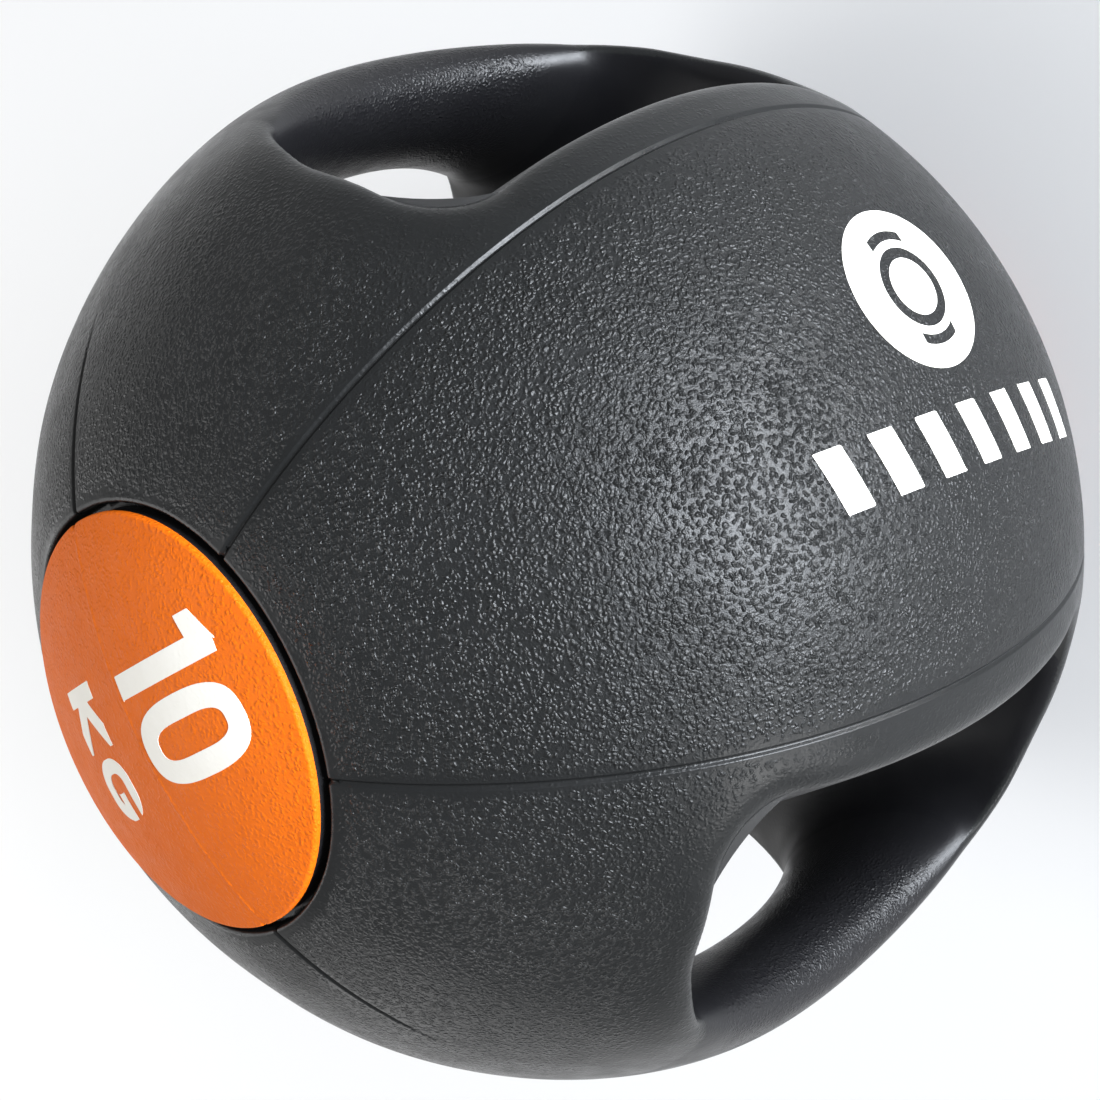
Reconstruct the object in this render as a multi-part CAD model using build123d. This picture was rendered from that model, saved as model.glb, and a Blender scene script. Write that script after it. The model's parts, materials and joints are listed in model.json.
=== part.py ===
"""Dual-grip rubber medicine ball, modelled as the pieces it is laid up from.

Frame: origin at the ball's centre, +Z up through the marked end disc, the two
grips on +X (right) and -X (left), the emblem panel facing -Y. Millimetres.
"""
from build123d import *
import os
from math import cos, radians, sin, sqrt

# ---- driving dimensions -------------------------------------------------
BALL_R = 140.0            # outside radius of the cover
COVER_T = 3.0             # cover panels and pocket liners
PANEL_COUNT = 6           # meridian panels, 60 degrees each
GROOVE_W = 1.8            # groove between two panels
GROOVE_DEPTH = 0.8

POCKET_FLOOR_X = 81.0     # mid-plane of the hand pocket's floor
POCKET_FLOOR_R = 247.0    # the floor is a slight arch along Z
POCKET_HALF_L = 69.0      # pocket half length along Z
POCKET_CORNER_R = 18.0    # between the floor and each end wall

GRIP_CREST_R = 141.5      # the grip's outer line follows this circle
GRIP_UNDER_X = 115.3      # underside of the grip at mid-length
GRIP_UNDER_R = 171.0      # arc of the underside, in the grip's own plane
GRIP_HALF_W = 24.0        # half width at mid-length
GRIP_FLARE_W = 19.0       # extra half width at each root
GRIP_FLARE_T = 14.0       # extra thickness at each root
GRIP_ANCHOR_Z = 84.0      # the grip's ends are buried up to here

DISC_R = 52.0             # end discs
DISC_WELL_R = 54.0        # opening in the cover around a disc
DISC_SEAT_Z = 123.0       # flat seat under a disc
DISC_APEX_Z = 139.5       # crown of a disc's dome, nearly as round as the ball
DISC_RIM_Z = 130.4        # edge of a disc's dome

INK_T = 0.3               # depth of the marks
DIGIT_H = 38.0            # the mass mark's digits
DIGIT_W = 20.0
DIGIT_STROKE = 6.0
DIGIT_GAP = 4.0
DIGIT_GAP_X = -7.2        # middle of the gap between the digits
DIGIT_BASE_Y = 1.3
LETTER_H = 15.5           # the unit under them
LETTER_W = 16.4
LETTER_STROKE = 4.4
LETTER_GAP = 2.2
LETTER_GAP_X = -0.4       # middle of the gap between the letters
UNIT_BASE_Y = -28.7

EMBLEM_R = 20.5           # round emblem on the front panel
EMBLEM_X = 16.0
EMBLEM_Z = -12.9
STRIPE_COUNT = 7          # slanted stripes beside it
STRIPE_PITCH = 14.9
STRIPE_W = 7.5
STRIPE_H = 15.0
STRIPE_X = -20.3          # middle of the stripe row
STRIPE_Z = -12.0
STRIPE_TILT = 4.3         # degrees that the row leans from the Z direction

CAVITY_R = 105.0          # hollow core
CAVITY_HALF_X = 50.0      # its flats under the two pockets
WINDING_T = 2.0
BLADDER_T = 2.0

VALVE_R = 7.0             # valve body in the rear panel
VALVE_FOOT_R = 13.0       # its foot, bonded inside the bladder
VALVE_FOOT_T = 2.5
VALVE_SINK = 0.6          # its face lies this far under the cover
PLUG_R = 2.5
PLUG_SINK = 1.2

PANEL_ANGLE = 360.0 / PANEL_COUNT
FAR = 2.0 * BALL_R        # beyond every surface, for cutting tools


# ---- shared tools -------------------------------------------------------
def pocket_tool(grow=0.0):
    """Through cut along Y for both hand pockets, grown outwards by grow."""
    floor_x = POCKET_FLOOR_X - grow
    floor_r = POCKET_FLOOR_R - grow
    half_l = POCKET_HALF_L + grow
    centre_x = floor_x - floor_r
    corner_x = centre_x + sqrt(floor_r**2 - half_l**2)
    start = (corner_x, -half_l)
    end = (corner_x, half_l)
    outline = Wire(
        [
            Edge.make_three_point_arc(start, (floor_x, 0), end),
            Edge.make_line(end, (FAR, half_l)),
            Edge.make_line((FAR, half_l), (FAR, -half_l)),
            Edge.make_line((FAR, -half_l), start),
        ]
    )
    profile = Face(outline)
    corners = [v for v in profile.vertices() if v.X < floor_x]
    profile = profile.fillet_2d(POCKET_CORNER_R + grow, corners)
    # the profile is drawn in X, Z: stand it up and push it both ways along Y
    upright = Plane.XZ * profile
    right = extrude(upright, amount=FAR, both=True)
    return right + mirror(right, about=Plane.YZ)


def wedge(start_deg):
    """Everything between two meridian planes, one panel wide."""
    end_deg = start_deg + PANEL_ANGLE
    first = (FAR * cos(radians(start_deg)), FAR * sin(radians(start_deg)))
    last = (FAR * cos(radians(end_deg)), FAR * sin(radians(end_deg)))
    face = make_face(Polyline((0, 0), first, last, close=True))
    return extrude(face, amount=FAR, both=True)


def groove_rings():
    """Shallow rings cut where two panels meet: one ring makes two grooves."""
    outer = Cylinder(BALL_R + GROOVE_DEPTH, GROOVE_W)
    inner = Cylinder(BALL_R - GROOVE_DEPTH, GROOVE_W)
    ring = Rot(90, 0, 0) * (outer - inner)
    turns = [Rot(0, 0, index * PANEL_ANGLE) for index in range(PANEL_COUNT // 2)]
    return [turn * ring for turn in turns]


def disc_wells():
    """Round wells at both ends that take the discs."""
    depth = BALL_R - DISC_SEAT_Z + 5
    well = Pos(0, 0, DISC_SEAT_Z + depth / 2) * Cylinder(DISC_WELL_R, depth)
    return well + mirror(well, about=Plane.XY)


def core_hollow(grow=0.0):
    """The hollow core: a ball with a flat towards each pocket."""
    ball = Sphere(CAVITY_R + grow)
    width = 2 * (CAVITY_HALF_X + grow)
    return ball & Box(width, FAR * 2, FAR * 2)


# ---- grips --------------------------------------------------------------
def grip_section(z):
    """Oval section of the right grip at height z."""
    crest = sqrt(GRIP_CREST_R**2 - z**2)
    beyond = max(abs(z) - POCKET_HALF_L, 0)
    crest -= 0.5 * beyond
    root = abs(z) / POCKET_HALF_L
    under = GRIP_UNDER_X - (GRIP_UNDER_R - sqrt(GRIP_UNDER_R**2 - z**2))
    under -= GRIP_FLARE_T * min(root, 1.0) ** 8
    half_w = GRIP_HALF_W + GRIP_FLARE_W * min(root, 1.0) ** 2
    plane = Plane(origin=((crest + under) / 2, 0, z), x_dir=(1, 0, 0), z_dir=(0, 0, 1))
    return plane * Ellipse((crest - under) / 2, half_w)


def right_grip():
    """Solid rubber bar with flared roots buried in the ball."""
    upper = [0.0, 22.0, 40.0, 52.0, 62.0, POCKET_HALF_L + 3, GRIP_ANCHOR_Z]
    heights = [-z for z in reversed(upper[1:])] + upper
    return loft([grip_section(z) for z in heights])


# ---- end discs and marks ------------------------------------------------
def dome_radius():
    """Radius of the dome that passes through a disc's crown and rim."""
    rise = DISC_APEX_Z - DISC_RIM_Z
    return (DISC_R**2 + rise**2) / (2 * rise)


def dome(grow=0.0):
    """Large ball whose cap is the top disc's outer face."""
    radius = dome_radius()
    return Pos(0, 0, DISC_APEX_Z - radius) * Sphere(radius + grow)


def top_disc():
    height = BALL_R - DISC_SEAT_Z
    blank = Pos(0, 0, DISC_SEAT_Z + height / 2) * Cylinder(DISC_R, height)
    return blank & dome()


def stroke(start, end, width):
    """Straight bar of a letter, square at its ends."""
    line = Vector(*end) - Vector(*start)
    middle = (Vector(*start) + Vector(*end)) / 2
    turn = Vector(1, 0).get_signed_angle(line, Vector(0, 0, 1))
    return Pos(middle.X, middle.Y) * Rot(0, 0, turn) * Rectangle(line.length, width)


def digit_one():
    """Stem with a slanted flag, its foot on the base line."""
    side = DIGIT_STROKE / 2
    tip = -side - 0.92 * DIGIT_STROKE
    corners = [
        (-side, 0),
        (side, 0),
        (side, DIGIT_H),
        (-0.45 * side, DIGIT_H),
        (tip, 0.89 * DIGIT_H),
        (tip, 0.76 * DIGIT_H),
        (-side, 0.795 * DIGIT_H),
    ]
    return make_face(Polyline(*corners, close=True))


def rounded_ring(width, height, stroke_w, roundness):
    """Rounded frame: a zero, or the body of a G."""
    inner_w = width - 2 * stroke_w
    inner_h = height - 2 * stroke_w
    outer = RectangleRounded(width, height, min(width, height) * roundness)
    return outer - RectangleRounded(inner_w, inner_h, min(inner_w, inner_h) * roundness)


def digit_zero():
    return Pos(0, DIGIT_H / 2) * rounded_ring(DIGIT_W, DIGIT_H, DIGIT_STROKE, 0.49)


def letter_k():
    stem = Pos(LETTER_STROKE / 2, LETTER_H / 2) * Rectangle(LETTER_STROKE, LETTER_H)
    knee = (LETTER_STROKE * 0.8, LETTER_H / 2)
    arm = stroke(knee, (LETTER_W, LETTER_H * 1.08), LETTER_STROKE)
    leg = stroke(knee, (LETTER_W, -LETTER_H * 0.08), LETTER_STROKE)
    field = Pos(LETTER_W / 2, LETTER_H / 2) * Rectangle(LETTER_W, LETTER_H)
    return stem + ((arm + leg) & field)


def letter_g():
    ring = rounded_ring(LETTER_W, LETTER_H, LETTER_STROKE * 0.9, 0.45)
    gap = Pos(LETTER_W / 2, LETTER_H * 0.14) * Rectangle(LETTER_W, LETTER_H * 0.2)
    bar_w = LETTER_W * 0.45
    bar = Pos(LETTER_W / 2 - bar_w / 2, -LETTER_H * 0.06) * Rectangle(bar_w, LETTER_STROKE * 0.7)
    return Pos(LETTER_W / 2, LETTER_H / 2) * (ring - gap + bar)


def mass_mark():
    """Inlaid "10" over "KG", flush with the top disc's dome.

    Drawn upright in X, Y, then turned so that its top points at the front.
    """
    one_x = DIGIT_GAP_X - DIGIT_GAP / 2 - DIGIT_STROKE / 2
    zero_x = DIGIT_GAP_X + DIGIT_GAP / 2 + DIGIT_W / 2
    ink = Pos(one_x, DIGIT_BASE_Y) * digit_one()
    ink += Pos(zero_x, DIGIT_BASE_Y) * digit_zero()
    ink += Pos(LETTER_GAP_X - LETTER_GAP / 2 - LETTER_W, UNIT_BASE_Y) * letter_k()
    ink += Pos(LETTER_GAP_X + LETTER_GAP / 2, UNIT_BASE_Y) * letter_g()
    block = extrude(Pos(0, 0, DISC_SEAT_Z) * Rot(0, 0, 180) * ink, amount=2 * BALL_R)
    return block & (dome() - dome(-INK_T))


# ---- front emblem -------------------------------------------------------
def front_print(drawing):
    """Lay a flat drawing (u = X, v = Z) on the front of the cover."""
    upright = Plane.XZ * drawing
    block = extrude(upright, amount=FAR)
    return block & (Sphere(BALL_R + INK_T) - Sphere(BALL_R))


def front_emblem():
    """Plain roundel with the outline of a ball and two grips left open."""
    ball = Circle(EMBLEM_R * 0.5) - Circle(EMBLEM_R * 0.36)
    grip_ring = Circle(EMBLEM_R * 0.72) - Circle(EMBLEM_R * 0.60)
    grips = grip_ring & Rectangle(2 * EMBLEM_R, EMBLEM_R * 0.62)
    roundel = Circle(EMBLEM_R) - ball - grips
    return front_print(Pos(EMBLEM_X, EMBLEM_Z) * roundel)


def front_stripes():
    """Row of slanted stripes along the panel, under the roundel."""
    slant = STRIPE_H * 0.3
    half_w = STRIPE_W / 2
    half_h = STRIPE_H / 2
    row = []
    for index in range(STRIPE_COUNT):
        z = (index - (STRIPE_COUNT - 1) / 2) * STRIPE_PITCH
        corners = [
            (-half_h, z - half_w - slant / 2),
            (half_h, z - half_w + slant / 2),
            (half_h, z + half_w + slant / 2),
            (-half_h, z + half_w - slant / 2),
        ]
        stripe = make_face(Polyline(*corners, close=True))
        row.append(front_print(Pos(STRIPE_X, STRIPE_Z) * Rot(0, 0, -STRIPE_TILT) * stripe))
    return Compound(children=row)


# ---- cover, liners and carcass ------------------------------------------
def cover_shell(pockets, grips):
    shell = Sphere(BALL_R) - Sphere(BALL_R - COVER_T) - pockets - grips - disc_wells()
    for ring in groove_rings():
        shell -= ring
    return shell


def right_liner(grips):
    """Smooth rubber lining of the right pocket's floor and end walls."""
    band = (pocket_tool(COVER_T) - pocket_tool()) & Sphere(BALL_R)
    right_side = Pos(BALL_R, 0, 0) * Box(FAR, FAR, FAR)
    return (band & right_side) - grips


def carcass(pockets, grips):
    """Thick moulded wall between the cover and the wound core."""
    return (
        Sphere(BALL_R - COVER_T)
        - pockets
        - grips
        - disc_wells()
        - core_hollow(WINDING_T)
    )


# ---- valve --------------------------------------------------------------
def rear_cylinder(radius, start_y, end_y):
    """Round bar along Y, in the middle of the rear panel."""
    length = end_y - start_y
    return Pos(0, start_y + length / 2, 0) * Rot(90, 0, 0) * Cylinder(radius, length)


def valve_channel(radius):
    """Round channel from inside the bladder out past the rear panel."""
    foot_face_y = CAVITY_R - BLADDER_T - VALVE_FOOT_T
    return rear_cylinder(radius, foot_face_y, BALL_R + 5)


def valve_body():
    stem = valve_channel(VALVE_R) & Sphere(BALL_R - VALVE_SINK)
    foot_outer_y = sqrt((CAVITY_R - BLADDER_T) ** 2 - VALVE_FOOT_R**2)
    foot = rear_cylinder(VALVE_FOOT_R, foot_outer_y - VALVE_FOOT_T, foot_outer_y)
    return stem + foot - valve_channel(PLUG_R)


def valve_plug():
    """Self-sealing core of the valve."""
    return valve_channel(PLUG_R) & Sphere(BALL_R - PLUG_SINK)


# ---- assembly -----------------------------------------------------------
def build_parts():
    """Every piece in its place, by node name."""
    grip = right_grip()
    grips = grip + mirror(grip, about=Plane.YZ)
    lined_pockets = pocket_tool(COVER_T)
    valve_hole = valve_channel(VALVE_R)

    parts = {}
    shell = cover_shell(lined_pockets, grips)
    panel_names = [
        "right_rear_panel",
        "rear_panel",
        "left_rear_panel",
        "left_front_panel",
        "front_panel",
        "right_front_panel",
    ]
    for index, name in enumerate(panel_names):
        parts[name] = shell & wedge(index * PANEL_ANGLE)
    parts["rear_panel"] -= valve_hole

    liner = right_liner(grips)
    parts["right_pocket_liner"] = liner
    parts["left_pocket_liner"] = mirror(liner, about=Plane.YZ)
    parts["right_grip"] = grip
    parts["left_grip"] = mirror(grip, about=Plane.YZ)

    mark = mass_mark()
    disc = top_disc() - mark
    half_turn = Rot(180, 0, 0)
    parts["top_disc"] = disc
    parts["bottom_disc"] = half_turn * disc
    parts["top_mass_mark"] = mark
    parts["bottom_mass_mark"] = half_turn * mark
    parts["front_emblem"] = front_emblem()
    parts["front_stripes"] = front_stripes()

    wall = carcass(lined_pockets, grips)
    half = Pos(0, FAR / 2, 0) * Box(FAR, FAR, FAR)
    parts["rear_carcass_half"] = (wall & half) - valve_hole
    parts["front_carcass_half"] = wall & mirror(half, about=Plane.XZ)

    parts["core_winding"] = core_hollow(WINDING_T) - core_hollow() - valve_hole
    parts["bladder"] = core_hollow() - core_hollow(-BLADDER_T) - valve_hole
    parts["valve_body"] = valve_body()
    parts["valve_plug"] = valve_plug()
    return parts


os.makedirs("parts", exist_ok=True)
for node, shape in build_parts().items():
    export_step(shape, f"parts/{node}.step")
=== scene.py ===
"""Looks of the dual-grip medicine ball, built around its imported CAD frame.

The whole rubber body is one smooth surface, given by the function body_field().
It is meshed once, cut along its panel borders, and each piece becomes a closed
shell, so that neighbours meet without a step. A disc is a round mesh with a
domed face, and a printed mark is a thin slab cut from a fine grid. Metres, row
frame: +Z through the marked disc, +X through the right grip, -Y through the
front panel.
"""
import json

import bpy
import numpy as np
from mathutils import Matrix, Vector


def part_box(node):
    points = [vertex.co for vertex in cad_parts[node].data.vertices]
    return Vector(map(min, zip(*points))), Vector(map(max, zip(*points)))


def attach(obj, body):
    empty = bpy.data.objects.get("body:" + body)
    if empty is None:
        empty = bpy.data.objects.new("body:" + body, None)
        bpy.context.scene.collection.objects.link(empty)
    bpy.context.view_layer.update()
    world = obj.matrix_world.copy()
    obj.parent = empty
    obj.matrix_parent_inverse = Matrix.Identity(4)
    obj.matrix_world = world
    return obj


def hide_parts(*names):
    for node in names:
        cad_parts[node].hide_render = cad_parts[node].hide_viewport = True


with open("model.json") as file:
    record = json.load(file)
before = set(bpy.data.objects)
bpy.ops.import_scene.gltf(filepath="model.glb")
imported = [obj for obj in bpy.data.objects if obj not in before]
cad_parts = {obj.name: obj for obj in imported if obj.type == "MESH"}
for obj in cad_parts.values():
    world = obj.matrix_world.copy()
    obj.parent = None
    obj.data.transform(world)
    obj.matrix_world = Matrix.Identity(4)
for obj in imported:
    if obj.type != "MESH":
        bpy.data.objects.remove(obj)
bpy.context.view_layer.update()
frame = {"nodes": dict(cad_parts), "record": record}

MM = 0.001

# ---- sizes from the frame -----------------------------------------------
COVER_R = -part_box("front_panel")[0].y
DISC_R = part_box("top_disc")[1].x
DISC_APEX_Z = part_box("top_disc")[1].z
DISC_SEAT_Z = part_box("top_disc")[0].z
EMBLEM_LOW, EMBLEM_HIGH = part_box("front_emblem")
STRIPES_LOW, STRIPES_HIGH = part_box("front_stripes")
VALVE_FACE_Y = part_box("valve_body")[1].y

# ---- shape of the rubber body, most of it as shares of the ball's radius --
SKIN = 3 * MM                     # thickness of panels, liners and grips
CELL = 1.3 * MM    # size of the body's mesh faces
FLOOR_X = 0.578 * COVER_R         # pocket floor at mid-height
FLOOR_ARCH = 0.288 / COVER_R      # how far the floor falls away towards its ends
POCKET_HALF_L = 0.479 * COVER_R
POCKET_LEAN = 0.66 / COVER_R      # the end walls close in towards the grip,
POCKET_LEAN_X = 0.68 * COVER_R    # beyond this distance from the axis,
POCKET_FLARE = 0.04 / COVER_R     # and open towards the front and rear
POCKET_CORNER_R = 0.115 * COVER_R
LIP = 0.030 * COVER_R             # rounding of the pocket's lip along its floor
END_LIP = 0.058 * COVER_R         # and at its ends
END_LIP_Z = (0.28 * COVER_R, 0.45 * COVER_R)
GRIP_AXIS_X = 0.922 * COVER_R     # the grip's centre line at mid-height
GRIP_AXIS_R = 1.222 * COVER_R     # its arc
GRIP_HALF_T = 0.0977 * COVER_R
GRIP_HALF_W = 0.169 * COVER_R
GRIP_FLARE = 0.143 * COVER_R      # extra half width at the roots
GRIP_ROOT_BLEND = 0.074 * COVER_R
CREST = 0.009 * COVER_R           # how far the grips stand proud of the ball,
CREST_Z = (0.3 * COVER_R, 0.75 * COVER_R)   # fading out between these heights
GRIP_BORDER_Z = 54 * MM           # where the grip piece ends

WELL_R = 53.6 * MM                # opening around a disc
WELL_LIP = 1.6 * MM
WELL_FILLET = 1.0 * MM
WELL_FLOOR_Z = DISC_SEAT_Z + 0.6 * MM       # just over the CAD seat, to hide it
PANEL_EDGE_R = 49 * MM            # the panels end out of sight under the disc

PANEL_COUNT = 6
BORDER_COUNT = PANEL_COUNT // 2             # planes that hold the panel borders
VALVE_HOLE_R = 7.15 * MM
VALVE_DISH_R = 10.5 * MM                    # shallow dish around the valve
GROOVE_DEPTH = 0.8 * MM
GROOVE_HALF_W = 1.05 * MM
GROOVE_CUTS = (0.35, 0.7, 1.0, 1.5)         # mesh edges beside a groove, in half widths
SIDE_GROOVE_Z = (96 * MM, 118 * MM)         # the groove over each side fades in here
WELL_CUTS = (0.2, 0.6, 1.0)                 # mesh edges around a well, in lip widths
CUT_SNAP = 0.18 * MM                        # points this near a cut move onto it

# The pebbled grain grows from faint to full between these distances.
GRAIN_BY_GROOVE = (1.0 * MM, 3.6 * MM)
GRAIN_BY_WELL = (2 * MM, 6 * MM)
GRAIN_BY_POCKET = (4 * MM, 26 * MM)
GRAIN_BY_VALVE = (3 * MM, 9 * MM)


# ---- discs and printed marks --------------------------------------------
DISC_RIM_Z = 130.4 * MM           # height of the disc's rim; its face is a dome
DOME_RISE = DISC_APEX_Z - DISC_RIM_Z
DOME_R = (DISC_R**2 + DOME_RISE**2) / (2 * DOME_RISE)
DISC_EDGE_R = 0.6 * MM            # rounding of a disc's edge
DISC_FACE_T = 1.0 * MM            # orange face sheet, on a bed coloured black as painted shade for the gap round the disc
DISC_NOTCH = 0.9 * MM             # nick at each end of the parting line
RIDGE_H = 0.15 * MM               # parting line across a disc
RIDGE_HALF_W = 0.9 * MM
RIDGE_CUTS = (-1.0, -0.4, 0.0, 0.4, 1.0)    # mesh edges along it, in half widths
INK_H = 0.12 * MM

MARK_REACH = (24 * MM, 42 * MM)   # the mass mark lies within this of the disc's middle
DIGIT_H = 38 * MM
DIGIT_W = 20.4 * MM
DIGIT_STROKE = 6 * MM
DIGIT_BASE_Y = 1.3 * MM
ONE_X = -12.2 * MM
ZERO_X = 4.8 * MM
LETTER_H = 15.5 * MM
LETTER_W = 16.4 * MM
LETTER_STROKE = 4.4 * MM
LETTER_BASE_Y = -28.7 * MM
K_LEFT_X = -17.9 * MM
G_LEFT_X = 0.7 * MM

EMBLEM_BALL_R = 0.43              # parts of the emblem, as shares of its radius
EMBLEM_BALL_LINE = 0.07
EMBLEM_GRIP_R = 0.66
EMBLEM_GRIP_LINE = 0.06
EMBLEM_GRIP_HALF_L = 0.31

STRIPE_COUNT = 7
STRIPE_PITCH = 14.9 * MM
STRIPE_W = 7.5 * MM
STRIPE_H = 15 * MM
STRIPE_SLANT = 0.3
STRIPE_TILT = np.radians(4.3)     # how far the row leans from the Z direction


# ---- smooth body --------------------------------------------------------
def smooth_min(a, b, reach):
    """The smaller of two fields, rounded where they are within reach of each other."""
    h = np.maximum(reach - np.abs(a - b), 0) / reach
    return np.minimum(a, b) - h * h * reach / 4


def smooth_max(a, b, reach):
    """The larger of two fields, rounded in the same way."""
    return -smooth_min(-a, -b, reach)


def smooth_step(low, high, value):
    """0 below low and 1 above high, with an even curve between."""
    t = np.clip((value - low) / (high - low), 0, 1)
    return t * t * (3 - 2 * t)


def pocket_depth(x, y, z):
    """Signed distance to the hand pocket's walls, below 0 in the pocket."""
    half_l = POCKET_HALF_L - POCKET_LEAN * np.maximum(x - POCKET_LEAN_X, 0) ** 2
    half_l += POCKET_FLARE * y * y
    from_floor = FLOOR_X - FLOOR_ARCH * z * z + POCKET_CORNER_R - x
    from_end = z - (half_l - POCKET_CORNER_R)
    outside = np.hypot(np.maximum(from_floor, 0), np.maximum(from_end, 0))
    inside = np.minimum(np.maximum(from_floor, from_end), 0)
    return outside + inside - POCKET_CORNER_R


def ball_with_pockets(x, y, z):
    """The ball without its grips, for x and z of 0 or more."""
    radius = np.sqrt(x * x + y * y + z * z)
    lip = LIP + (END_LIP - LIP) * smooth_step(*END_LIP_Z, z)
    return smooth_max(radius - COVER_R, -pocket_depth(x, y, z), lip)


def grip_field(x, y, z):
    """Oval bar along an arc in the plane y = 0, wider towards its roots."""
    off_axis = np.hypot(x - (GRIP_AXIS_X - GRIP_AXIS_R), z) - GRIP_AXIS_R
    along = np.clip(z / POCKET_HALF_L, 0, 1)
    half_w = GRIP_HALF_W + GRIP_FLARE * along**2
    ratio = np.hypot(off_axis / GRIP_HALF_T, y / half_w)
    return (ratio - 1) * 0.9 * np.minimum(GRIP_HALF_T, half_w)


def body_field(p):
    """About the distance to the rubber body, without its grooves."""
    x = np.abs(p[:, 0])
    y = p[:, 1]
    z = np.abs(p[:, 2])
    radius = np.sqrt(x * x + y * y + z * z)
    body = smooth_min(ball_with_pockets(x, y, z), grip_field(x, y, z), GRIP_ROOT_BLEND)
    crest = CREST * (1 - smooth_step(*CREST_Z, z))
    body = smooth_max(body, radius - COVER_R - crest, LIP)
    well = smooth_max(np.hypot(x, y) - WELL_R, WELL_FLOOR_Z - z, WELL_FILLET)
    return smooth_max(body, -well, WELL_LIP)


def border_normal(index):
    """Normal of the plane that holds panel border number index."""
    angle = np.pi * index / BORDER_COUNT
    return np.array([-np.sin(angle), np.cos(angle), 0.0])


def near_border(p, index, low, high):
    """1 on panel border number index, down to 0 between low and high beside it."""
    share = 1 - smooth_step(low, high, np.abs(p @ border_normal(index)))
    if index == 0:
        share = share * smooth_step(*SIDE_GROOVE_Z, np.abs(p[:, 2]))
    return share


def valve_distance(p):
    """Distance outside the valve's hole, which is only in the rear."""
    return np.hypot(p[:, 0], p[:, 2]) + 10 * COVER_R * (p[:, 1] < 0) - VALVE_HOLE_R


def groove_field(p):
    """Depth of the grooves between panels, and of the dish round the valve."""
    radius = np.linalg.norm(p, axis=1)
    depth = np.zeros(len(p))
    for index in range(BORDER_COUNT):
        depth = np.maximum(depth, near_border(p, index, 0, GROOVE_HALF_W))
    on_ball = smooth_step(COVER_R - 3.5 * MM, COVER_R - 1.2 * MM, radius)
    dish = 1 - smooth_step(0, VALVE_DISH_R - VALVE_HOLE_R, valve_distance(p))
    return depth * GROOVE_DEPTH * on_ball + dish * (COVER_R - VALVE_FACE_Y)


def grooved_field(p):
    """The body's field with its grooves cut in."""
    return body_field(p) + groove_field(p)


def slope(field, p, step=0.02 * MM):
    """Gradient of a field, by small steps both ways."""
    columns = []
    for axis in np.eye(3) * step:
        columns.append(field(p + axis) - field(p - axis))
    return np.stack(columns, axis=1) / (2 * step)


def unit(v):
    """Vectors of length 1 in the same directions."""
    return v / np.maximum(np.linalg.norm(v, axis=1, keepdims=True), 1e-12)


def onto(field, p, rounds):
    """Moves points onto field = 0, by Newton steps along its slope."""
    for _ in range(rounds):
        g = slope(field, p)
        size = np.maximum((g * g).sum(1), 0.2)
        p = p - (field(p) / size)[:, None] * g
    return p


# ---- meshing ------------------------------------------------------------
def surface_net(field, half, cell):
    """Closed quad mesh of field = 0, one vertex in each cell that it crosses."""
    ticks = np.arange(-half - cell / 2, half + cell, cell)
    count = len(ticks)
    y, z = np.meshgrid(ticks, ticks, indexing="ij")
    layers = []
    for x in ticks:
        layer = np.stack([np.full(y.size, x), y.ravel(), z.ravel()], axis=1)
        layers.append(field(layer).astype(np.float32).reshape(count, count))
    solid = np.stack(layers) < 0
    stride = np.array([count * count, count, 1])
    quads = []
    for axis in range(3):
        side = np.diff(solid.astype(np.int8), axis=axis)
        found = np.argwhere(side != 0)
        leaving = side[tuple(found.T)] < 0
        corner = found @ stride
        b = stride[(axis + 1) % 3]
        c = stride[(axis + 2) % 3]
        ring = np.stack([corner - b - c, corner - c, corner, corner - b], axis=1)
        ring[~leaving] = ring[~leaving][:, ::-1]
        quads.append(ring)
    cells, quads = np.unique(np.concatenate(quads), return_inverse=True)
    quads = quads.reshape(-1, 4)
    place = np.stack(np.unravel_index(cells, (count, count, count)), axis=1)
    return ticks[0] + (place + 0.5) * cell, quads


def relax(field, p, quads, rounds):
    """Evens out a mesh along its surface, and keeps it on the surface."""
    edges = np.concatenate([quads[:, [k, (k + 1) % 4]] for k in range(4)])
    links = np.bincount(edges[:, 0], minlength=len(p))[:, None]
    for _ in range(rounds):
        total = np.stack(
            [np.bincount(edges[:, 0], p[edges[:, 1], k], len(p)) for k in range(3)],
            axis=1,
        )
        pull = total / links - p
        normal = unit(slope(field, p))
        pull -= (pull * normal).sum(1)[:, None] * normal
        p = onto(field, p + 0.6 * pull, 1)
    return p


def triangles(p, quads):
    """Splits quads along their shorter diagonal."""
    first = np.linalg.norm(p[quads[:, 0]] - p[quads[:, 2]], axis=1)
    second = np.linalg.norm(p[quads[:, 1]] - p[quads[:, 3]], axis=1)
    turned = np.where((first > second)[:, None], np.roll(quads, -1, axis=1), quads)
    return np.concatenate([turned[:, [0, 1, 2]], turned[:, [0, 2, 3]]])


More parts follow.
